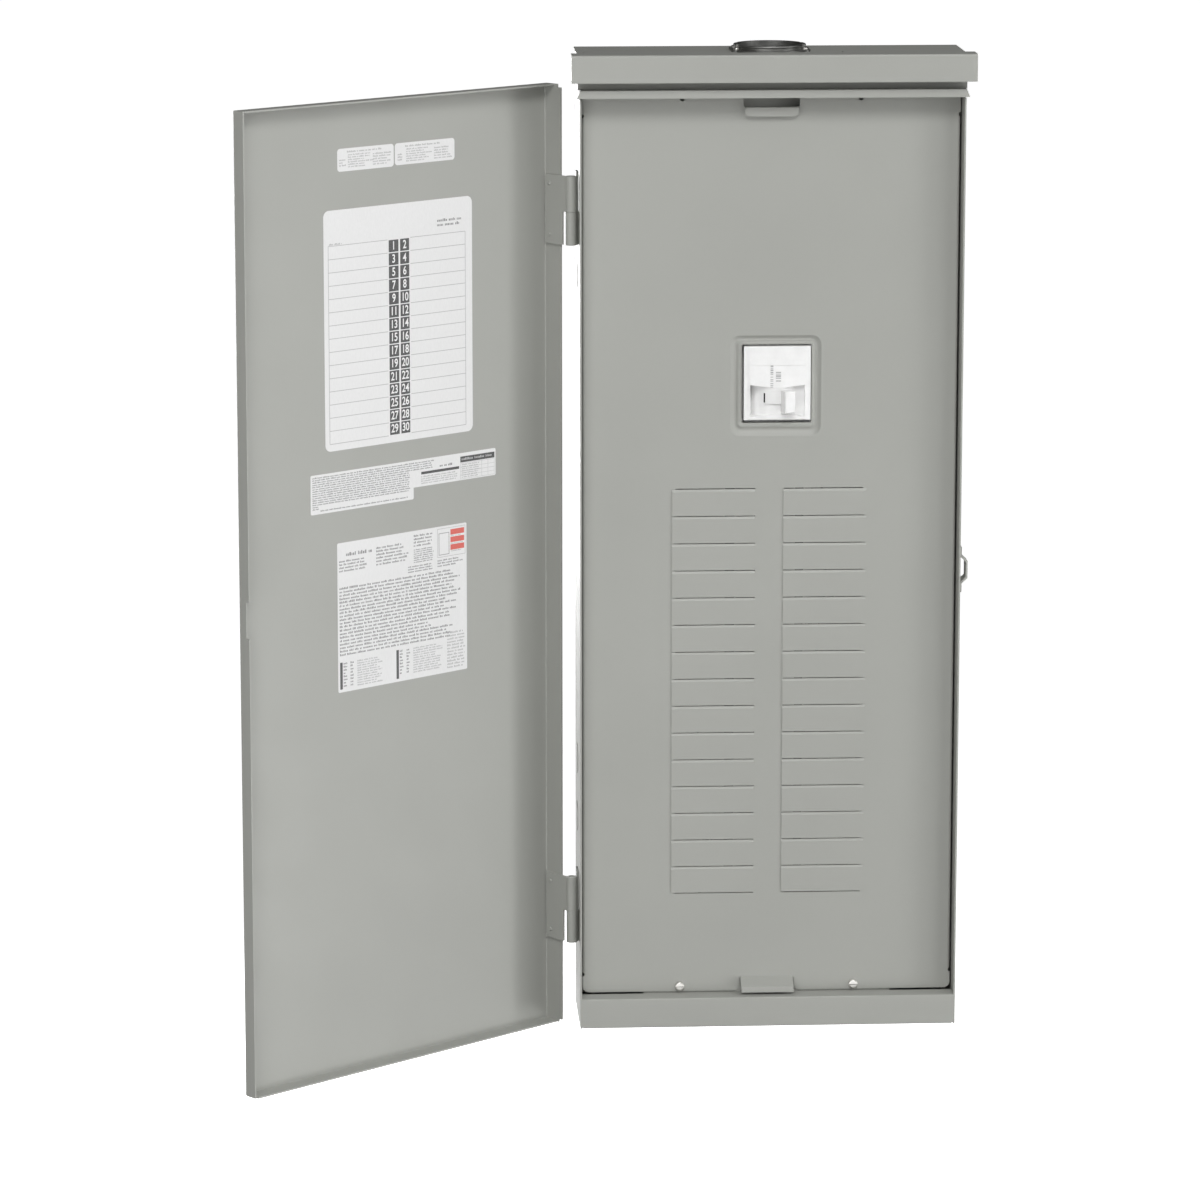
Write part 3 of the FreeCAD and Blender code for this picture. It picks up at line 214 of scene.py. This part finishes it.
# ================================================================ materials
class Shading:
    """A node material being built: the tree, its principled shader and object-space coordinates."""

    def __init__(self, name):
        self.material = bpy.data.materials.new(name)
        self.material.use_nodes = True
        self.tree = self.material.node_tree
        self.tree.nodes.clear()
        self.shader = self.add("ShaderNodeBsdfPrincipled")
        output = self.add("ShaderNodeOutputMaterial")
        self.link(self.shader.outputs["BSDF"], output.inputs["Surface"])
        self.place = self.add("ShaderNodeTexCoord").outputs["Object"]

    def add(self, kind, **settings):
        node = self.tree.nodes.new(kind)
        for key, value in settings.items():
            setattr(node, key, value)
        return node

    def link(self, source, target):
        self.tree.links.new(source, target)

    def noise(self, scale, detail=2.0, roughness=0.5, stretch=None):
        place = self.place
        if stretch:
            mapping = self.add("ShaderNodeMapping")
            mapping.inputs["Scale"].default_value = stretch
            self.link(place, mapping.inputs["Vector"])
            place = mapping.outputs["Vector"]
        node = self.add("ShaderNodeTexNoise")
        node.inputs["Scale"].default_value = scale
        node.inputs["Detail"].default_value = detail
        node.inputs["Roughness"].default_value = roughness
        self.link(place, node.inputs["Vector"])
        return node.outputs["Fac"]

    def ramp(self, source, first, last, between=NOISE_RANGE):
        """Maps the source's range onto the values from first to last."""
        node = self.add("ShaderNodeMapRange")
        node.inputs["From Min"].default_value = between[0]
        node.inputs["From Max"].default_value = between[1]
        node.inputs["To Min"].default_value = first
        node.inputs["To Max"].default_value = last
        self.link(source, node.inputs["Value"])
        return node.outputs["Result"]

    def mix(self, factor, first, second):
        node = self.add("ShaderNodeMix", data_type="RGBA")
        self.link(factor, node.inputs["Factor"])
        for socket, colour in (("A", first), ("B", second)):
            target = [s for s in node.inputs if s.name == socket and s.type == "RGBA"][0]
            if isinstance(colour, tuple):
                target.default_value = (*colour, 1.0)
            else:
                self.link(colour, target)
        return [s for s in node.outputs if s.type == "RGBA"][0]

    def tints(self, source, colour, darker, lighter):
        """The colour, varied by the source between two tints of itself."""
        return self.mix(self.ramp(source, 0.0, 1.0), tinted(colour, darker), tinted(colour, lighter))

    def colour(self, source):
        self.link(source, self.shader.inputs["Base Color"])

    def gloss(self, source):
        self.link(source, self.shader.inputs["Roughness"])

    def set(self, **values):
        for key, value in values.items():
            self.shader.inputs[key.replace("_", " ")].default_value = value

    def bump(self, height, distance, strength=1.0, over=None):
        """Adds a bump, over an earlier one if given. The distance is in mm."""
        node = self.add("ShaderNodeBump")
        node.inputs["Strength"].default_value = strength
        node.inputs["Distance"].default_value = distance * MM
        self.link(height, node.inputs["Height"])
        if over:
            self.link(over, node.inputs["Normal"])
        self.link(node.outputs["Normal"], self.shader.inputs["Normal"])
        return node.outputs["Normal"]


def tinted(colour, factor):
    return tuple(min(1.0, channel * factor) for channel in colour)


def powder_coat():
    """Semi-gloss powder paint: faint orange peel, fine flecks, a little drift in colour and gloss."""
    s = Shading("grey_powder_coat")
    drift = s.noise(scale=5.0, detail=3.0, roughness=0.6)
    flecks = s.noise(scale=1500.0, roughness=0.6)
    base = s.tints(drift, PAINT, darker=0.975, lighter=1.025)
    flecked = s.ramp(flecks, 0.0, 0.16, between=(0.62, 0.75))
    s.colour(s.mix(flecked, base, tinted(PAINT, 0.72)))
    s.gloss(s.ramp(s.noise(scale=22.0, detail=3.0), 0.40, 0.50))
    peel = s.bump(s.noise(scale=420.0, detail=1.5, roughness=0.4), distance=0.06, strength=0.55)
    s.bump(s.noise(scale=1900.0, roughness=0.6), distance=0.02, strength=0.35, over=peel)
    s.set(Specular_IOR_Level=0.45)
    return s.material


def plated(name, colour, roughness, grain):
    """Plated or machined metal: short drawn grain, cloudy gloss and faint darker patches."""
    s = Shading(name)
    cloud = s.noise(scale=60.0, detail=4.0, roughness=0.65)
    drawn = s.noise(scale=grain, detail=3.0, roughness=0.6, stretch=(1.0, 1.0, 0.12))
    s.colour(s.tints(cloud, colour, darker=0.86, lighter=1.08))
    s.gloss(s.ramp(cloud, *roughness, between=(0.25, 0.75)))
    s.bump(drawn, distance=0.03, strength=0.5)
    s.set(Metallic=1.0)
    return s.material


def moulded(name, colour, roughness, grain):
    """Moulded thermoset: fine satin grain and a slight mottle."""
    s = Shading(name)
    mottle = s.noise(scale=90.0, detail=4.0, roughness=0.6)
    s.colour(s.tints(mottle, colour, darker=0.96, lighter=1.03))
    s.gloss(s.ramp(mottle, *roughness))
    s.bump(s.noise(scale=grain), distance=0.03, strength=0.6)
    s.set(Specular_IOR_Level=0.45)
    return s.material


def label_stock():
    """Satin printed label: very slight fibre and waviness."""
    s = Shading("label_stock")
    fibre = s.noise(scale=700.0, detail=3.0, roughness=0.6, stretch=(1.0, 1.0, 0.4))
    s.colour(s.tints(fibre, CARD, darker=0.975, lighter=1.02))
    s.gloss(s.ramp(s.noise(scale=30.0), 0.34, 0.46))
    s.bump(s.noise(scale=26.0), distance=0.2, strength=0.25)
    return s.material


def ink(name, colour):
    """Printing ink: slightly uneven coverage on the label."""
    s = Shading(name)
    cover = s.noise(scale=2600.0, roughness=0.6)
    thin = s.ramp(cover, 0.0, 0.25, between=(0.35, 0.75))
    s.colour(s.mix(thin, colour, tinted(CARD, 0.75)))
    s.gloss(s.ramp(cover, 0.38, 0.5))
    return s.material


def floor_paint():
    """Pale matt floor with a glow of its own, so that it shows white without more light on the object."""
    s = Shading("pale_floor")
    s.colour(s.mix(s.ramp(s.noise(scale=0.8), 0.0, 1.0), FLOOR_DARKER, FLOOR_LIGHTER))
    s.gloss(s.ramp(s.noise(scale=3.0), 0.75, 0.85))
    s.set(Emission_Color=WHITE, Emission_Strength=FLOOR_GLOW)
    return s.material


def finishes():
    """One node material for each of the record's material slots."""
    return {
        "grey_paint": powder_coat(),
        "zinc": plated("bright_zinc", ZINC, roughness=(0.24, 0.38), grain=900.0),
        "hub_metal": plated("hub_metal", HUB, roughness=(0.36, 0.52), grain=500.0),
        "white_plastic": moulded("white_thermoset", WHITE_MOULDING, roughness=(0.40, 0.50), grain=1300.0),
        "black_plastic": moulded("black_thermoset", BLACK_MOULDING, roughness=(0.46, 0.60), grain=1100.0),
        "tin_plated_bus": plated("tin_plate", TIN, roughness=(0.36, 0.50), grain=700.0),
        "lug_aluminium": plated("lug_aluminium", ALUMINIUM, roughness=(0.28, 0.42), grain=1100.0),
        "contact_copper": plated("contact_copper", COPPER, roughness=(0.26, 0.44), grain=900.0),
        "bond_green": plated("bond_green", BOND_GREEN, roughness=(0.34, 0.46), grain=700.0),
        "card_white": label_stock(),
    }


FINISH = finishes()
INKS = {name: ink(f"ink_{name}", colour) for name, colour in INK_COLOURS.items()}


def finish_cad_nodes():
    for part in frame["record"]["subparts"]:
        mesh = NODES[part["node"]].data
        mesh.materials.clear()
        mesh.materials.append(FINISH[part["material_slot"]])


# ================================================================ making pieces
def mesh_piece(name, bm, material, body):
    mesh = bpy.data.meshes.new(name)
    bm.normal_update()
    bm.to_mesh(mesh)
    bm.free()
    piece = bpy.data.objects.new(name, mesh)
    SCENE.collection.objects.link(piece)
    mesh.materials.append(material)
    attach(piece, body)
    return piece


def add_slab(bm, corners, offset):
    """A thin closed slab: four corner points swept by an offset vector."""
    near = [bm.verts.new(point) for point in corners]
    far = [bm.verts.new(point + offset) for point in corners]
    bm.faces.new(near)
    bm.faces.new(list(reversed(far)))
    for i in range(4):
        j = (i + 1) % 4
        bm.faces.new([near[j], near[i], far[i], far[j]])


def door_opened():
    """The turn that takes the closed door to where it stands at rest."""
    joint = JOINTS["door_hinge"]
    pivot = Vector(joint["pos_m"])
    turn = Matrix.Rotation(math.radians(joint["range_deg"][0]), 4, -Vector(joint["axis"]))
    return Matrix.Translation(pivot) @ turn @ Matrix.Translation(-pivot)


OPENED = door_opened()


# ================================================================ printed cards
class Card:
    """A printed card on the door, measured with the door closed, and the marks to be printed on it."""

    def __init__(self, node):
        closed = OPENED.inverted()
        points = [closed @ vertex.co for vertex in NODES[node].data.vertices]
        self.node = node
        self.left = max(point.x for point in points)
        self.top = max(point.z for point in points)
        self.face = max(point.y for point in points)
        self.width = (self.left - min(point.x for point in points)) / MM
        self.height = (self.top - min(point.z for point in points)) / MM
        self.marks = {}

    def closed_point(self, u, v, lift):
        return Vector((self.left - u * MM, self.face + lift * MM, self.top - v * MM))

    def bar(self, colour, u0, v0, u1, v1, lift=PRINT_LIFT):
        self.marks.setdefault(colour, []).append((u0, v0, u1, v1, lift))

    def frame(self, colour, u0, v0, u1, v1, line):
        self.bar(colour, u0, v0, u1, v0 + line)
        self.bar(colour, u0, v1 - line, u1, v1)
        self.bar(colour, u0, v0 + line, u0 + line, v1 - line)
        self.bar(colour, u1 - line, v0 + line, u1, v1 - line)

    def words(self, draw, colour, u0, v0, u1, lines, pitch, fill, lift=PRINT_LIFT):
        """Lines of small strokes that stand for text and spell nothing."""
        widest = STROKE_WIDTH * pitch
        for line in range(lines):
            end = u0 + (u1 - u0) * draw.uniform(*fill)
            low = v0 + line * pitch + BASELINE * pitch
            u = u0
            while u < end - widest:
                for _ in range(draw.randint(*WORD_STROKES)):
                    if u > end - widest:
                        break
                    tall = draw.choice(STROKE_HEIGHTS) * pitch
                    wide = widest * draw.choice(STROKE_WIDTH_SHARES)
                    self.bar(colour, u, low - tall, u + wide, low, lift)
                    u += wide + STROKE_GAP * pitch
                u += WORD_GAP * pitch

    def finish(self):
        """Makes one piece of print for each colour."""
        toward_viewer = (OPENED.to_3x3() @ Vector((0, 1, 0))) * PRINT_THICKNESS * MM
        for colour, bars in self.marks.items():
            bm = bmesh.new()
            for u0, v0, u1, v1, lift in bars:
                outline = ((u0, v0), (u1, v0), (u1, v1), (u0, v1))
                add_slab(bm, [OPENED @ self.closed_point(u, v, lift) for u, v in outline], toward_viewer)
            bmesh.ops.recalc_face_normals(bm, faces=bm.faces)
            mesh_piece(f"{self.node}_{colour}_print", bm, INKS[colour], "door")


def add_number(bm, text, size, matrix):
    """Adds a number, as a thin solid, to a mesh being built."""
    curve = bpy.data.curves.new("number", "FONT")
    curve.body = text
    curve.size = size
    curve.align_x = "CENTER"
    curve.align_y = "CENTER"
    curve.extrude = PRINT_THICKNESS * MM / 2
    curve.offset = size * NUMBER_WEIGHT
    holder = bpy.data.objects.new("number", curve)
    SCENE.collection.objects.link(holder)
    bpy.context.view_layer.update()
    mesh = bpy.data.meshes.new_from_object(holder.evaluated_get(bpy.context.evaluated_depsgraph_get()))
    mesh.transform(matrix)
    bm.from_mesh(mesh)
    bpy.data.objects.remove(holder)
    bpy.data.curves.remove(curve)
    bpy.data.meshes.remove(mesh)


def circuit_numbers(card, top, pitch):
    """The numbers 1 to 30 in the directory's black boxes, odd on the left and even on the right."""
    upright = Matrix(((-1, 0, 0, 0), (0, 0, 1, 0), (0, 1, 0, 0), (0, 0, 0, 1)))
    narrowed = Matrix.Diagonal((NUMBER_NARROWING, 1.0, 1.0, 1.0))
    bm = bmesh.new()
    for row in range(DIRECTORY_ROWS):
        middle = top + (row + 0.5) * pitch
        for column, (left, right) in enumerate(NUMBER_COLUMNS):
            place = card.closed_point((left + right) / 2, middle, NUMBER_LIFT)
            matrix = OPENED @ Matrix.Translation(place) @ upright @ narrowed
            number = len(NUMBER_COLUMNS) * row + column + 1
            add_number(bm, str(number), NUMBER_SIZE * MM, matrix)
    mesh_piece("circuit_numbers", bm, INKS["white"], "door")


def circuit_directory():
    card = Card("circuit_directory_card")
    left, right = DIRECTORY_LEFT, card.width - DIRECTORY_RIGHT
    top, foot = DIRECTORY_TOP, card.height - DIRECTORY_FOOT
    pitch = (foot - top) / DIRECTORY_ROWS
    half_rule = DIRECTORY_RULE / 2
    for row in range(DIRECTORY_ROWS + 1):
        v = top + row * pitch
        card.bar("line", left, v - half_rule, NUMBER_COLUMNS[0][0] - COLUMN_MARGIN, v + half_rule)
        card.bar("line", NUMBER_COLUMNS[-1][1] + COLUMN_MARGIN, v - half_rule, right, v + half_rule)
    for u in (left, right):
        card.bar("line", u - half_rule, top, u + half_rule, foot)
    for row in range(DIRECTORY_ROWS):
        box_top = top + row * pitch + NUMBER_BOX_INSET
        for box_left, box_right in NUMBER_COLUMNS:
            card.bar("black", box_left, box_top, box_right, box_top + pitch - NUMBER_BOX_GAP)
    caption = 2.6
    card.words(random.Random(3), "line", left + 1.0, top - caption, left + 16.0, 1, caption, (1.0, 1.0))
    card.words(random.Random(5), *DIRECTORY_HEADING)
    card.finish()
    circuit_numbers(card, top, pitch)


def small_labels():
    """Two small labels side by side, each with a title, a body and a column of notes at either side."""
    card = Card("small_data_labels")
    draw = random.Random(11)
    margin = 2.0
    first_end, second_start = 62.5, 69.0
    for left, right in ((margin, first_end), (second_start, card.width - margin)):
        card.words(draw, "line", left + 9.0, 2.0, right - 4.0, 1, 2.6, (0.75, 0.95))
        card.words(draw, "line", left + 10.0, 5.0, right - 20.0, 6, 2.1, (0.6, 1.0))
        card.words(draw, "line", right - 22.0, 6.0, right, 5, 2.3, (0.7, 1.0))
        card.words(draw, "line", left, 9.0, left + 8.0, 3, 2.4, (0.6, 1.0))
    card.finish()


def wiring_label():
    card = Card("wiring_data_label")
    draw = random.Random(17)
    for block in WIRING_TEXT:
        card.words(draw, *block)
    card.bar("black", *WIRING_NOTE_BAR)
    card.words(draw, *WIRING_NOTE)
    card.bar("black", *WIRING_TABLE_HEAD)
    card.words(draw, *WIRING_TABLE_TITLE, lift=OVERPRINT_LIFT)
    for v in WIRING_TABLE_ROWS:
        card.bar("line", WIRING_TABLE_COLUMNS[0], v, WIRING_TABLE_RIGHT, v + WIRING_TABLE_RULE)
    for u in WIRING_TABLE_COLUMNS:
        card.bar("line", u, WIRING_TABLE_ROWS[0], u + WIRING_TABLE_RULE, WIRING_TABLE_FOOT)
    card.words(draw, *WIRING_TABLE_TEXT)
    card.finish()


def instruction_sheet():
    card = Card("instruction_label")
    draw = random.Random(23)
    for block in INSTRUCTION_HEADER:
        card.words(draw, *block)
    card.frame("line", *NOTICE_BOX, NOTICE_LINE)
    card.frame("grey", *NOTICE_PANEL, PANEL_LINE)
    for top in RED_BAR_TOPS:
        card.bar("red", RED_BAR_LEFT, top, RED_BAR_RIGHT, top + RED_BAR_HEIGHT)
        card.words(draw, "line", 133.0, top + 5.2, 148.0, 1, 1.8, (0.8, 1.0))
    for top, lines, fill in PARAGRAPHS:
        card.words(draw, "grey", PARAGRAPH_LEFT, top, PARAGRAPH_RIGHT, lines, PARAGRAPH_PITCH, fill)
    card.words(draw, *SIDE_NOTE)
    for left, right, top in FOOT_LISTS:
        card.bar("black", left, top, left + FOOT_BAR_WIDTH, FOOT_BAR_END)
        card.words(draw, "grey", left + 4.0, top, left + 9.0, 8, 2.9, (0.6, 1.0))
        card.words(draw, "grey", left + 12.0, top, left + 17.0, 8, 2.9, (0.6, 1.0))
        card.words(draw, "line", left + 20.0, top, right - 8.0, 11, 2.2, (0.7, 1.0))
    card.finish()


# ================================================================ main breaker
def breaker_marks():
    """Two columns of short strokes on the main breaker's face, in place of its turned rating marks."""
    low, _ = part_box("main_breaker_cover")
    pivot_x, _, pivot_z = JOINTS["main_handle_throw"]["pos_m"]
    face = low.y - MARK_LIFT * MM
    toward_viewer = Vector((0, -PRINT_THICKNESS * MM, 0))
    draw = random.Random(31)
    bm = bmesh.new()
    for x, start, length, stroke in MARK_COLUMNS:
        z = start
        while z < start + length:
            tall = draw.choice(MARK_HEIGHTS)
            left, right = pivot_x + x * MM, pivot_x + (x + stroke) * MM
            foot, top = pivot_z + z * MM, pivot_z + (z + tall) * MM
            outline = ((left, foot), (right, foot), (right, top), (left, top))
            add_slab(bm, [Vector((across, face, up)) for across, up in outline], toward_viewer)
            z += tall + draw.choice(MARK_GAPS)
    bmesh.ops.recalc_face_normals(bm, faces=bm.faces)
    mesh_piece("breaker_rating_marks", bm, INKS["line"], "case")


def rounded_loop(bm, x0, x1, z0, z1, radius, y, steps=8):
    """A closed loop of points round a rounded rectangle, in metres."""
    centres = ((x1 - radius, z1 - radius), (x0 + radius, z1 - radius),
               (x0 + radius, z0 + radius), (x1 - radius, z0 + radius))
    loop = []
    for quarter, (centre_x, centre_z) in enumerate(centres):
        for step in range(steps + 1):
            angle = math.pi / 2 * (quarter + step / steps)
            place = (centre_x + radius * math.cos(angle), y, centre_z + radius * math.sin(angle))
            loop.append(bm.verts.new(place))
    return loop


def window_rim():
    """The pressed groove round the main breaker's window, with a soft collar next to the opening."""
    pivot_x, _, pivot_z = JOINTS["main_handle_throw"]["pos_m"]
    face = DEADFRONT_FACE_Y * MM
    x0, x1 = pivot_x - WINDOW_LEFT * MM, pivot_x + WINDOW_RIGHT * MM
    z0, z1 = pivot_z - WINDOW_BELOW * MM, pivot_z + WINDOW_ABOVE * MM
    bm = bmesh.new()
    loops = []
    for share, depth in GROOVE_PROFILE:
        left, right, below, above = (width * (1.0 - share) * MM for width in GROOVE_WIDTHS)
        radius = (GROOVE_CORNER + (WINDOW_CORNER - GROOVE_CORNER) * share) * MM
        loops.append(rounded_loop(bm, x0 - left, x1 + right, z0 - below, z1 + above,
                                  radius, face + depth * MM))
    inside = COLLAR_INSIDE * MM
    for depth in COLLAR_DEPTHS:
        loops.append(rounded_loop(bm, x0 + inside, x1 - inside, z0 + inside, z1 - inside,
                                  WINDOW_CORNER * MM, face + depth * MM))
    for first, second in zip(loops, loops[1:]):
        count = len(first)
        for i in range(count):
            j = (i + 1) % count
            bm.faces.new([first[i], first[j], second[j], second[i]])
    bmesh.ops.recalc_face_normals(bm, faces=bm.faces)
    piece = mesh_piece("window_rim", bm, FINISH["grey_paint"], "case")
    for polygon in piece.data.polygons:
        polygon.use_smooth = True


# ================================================================ stage
def make_floor():
    """A wide floor below the case, which hangs on a wall."""
    level = CAD_BOX[0].z - FLOOR_DROP
    bm = bmesh.new()
    corners = ((-1, -1), (1, -1), (1, 1), (-1, 1))
    bm.faces.new([bm.verts.new((x * FLOOR_REACH, y * FLOOR_REACH, level)) for x, y in corners])
    mesh = bpy.data.meshes.new("floor")
    bm.to_mesh(mesh)
    bm.free()
    floor = bpy.data.objects.new("floor", mesh)
    SCENE.collection.objects.link(floor)
    mesh.materials.append(floor_paint())
    floor.visible_diffuse = False


def area_light(name, place, target, size, power, colour):
    data = bpy.data.lights.new(name, "AREA")
    data.shape = "RECTANGLE"
    data.size, data.size_y = size
    data.energy = power
    data.color = colour
    light = bpy.data.objects.new(name, data)
    SCENE.collection.objects.link(light)
    light.location = place
    light.rotation_euler = (Vector(target) - Vector(place)).to_track_quat("-Z", "Y").to_euler()
    light.visible_camera = False


def make_lights():
    world = bpy.data.worlds.new("studio")
    SCENE.world = world
    world.use_nodes = True
    background = world.node_tree.nodes["Background"]
    background.inputs["Color"].default_value = WHITE
    background.inputs["Strength"].default_value = WORLD_STRENGTH
    for light in LIGHTS:
        area_light(*light)


def make_camera():
    data = bpy.data.cameras.new("camera")
    data.sensor_width = CAMERA_SENSOR
    data.lens = CAMERA_LENS
    data.shift_y = CAMERA_SHIFT_Y
    data.clip_start = CAMERA_NEAR
    data.clip_end = CAMERA_FAR
    camera = bpy.data.objects.new("camera", data)
    SCENE.collection.objects.link(camera)
    camera.location = CAMERA_PLACE
    camera.rotation_euler = (math.pi / 2 + CAMERA_PITCH, 0.0, CAMERA_YAW)
    SCENE.camera = camera


finish_cad_nodes()
circuit_directory()
small_labels()
wiring_label()
instruction_sheet()
breaker_marks()
window_rim()
make_floor()
make_lights()
make_camera()
SCENE.view_settings.view_transform = "Standard"
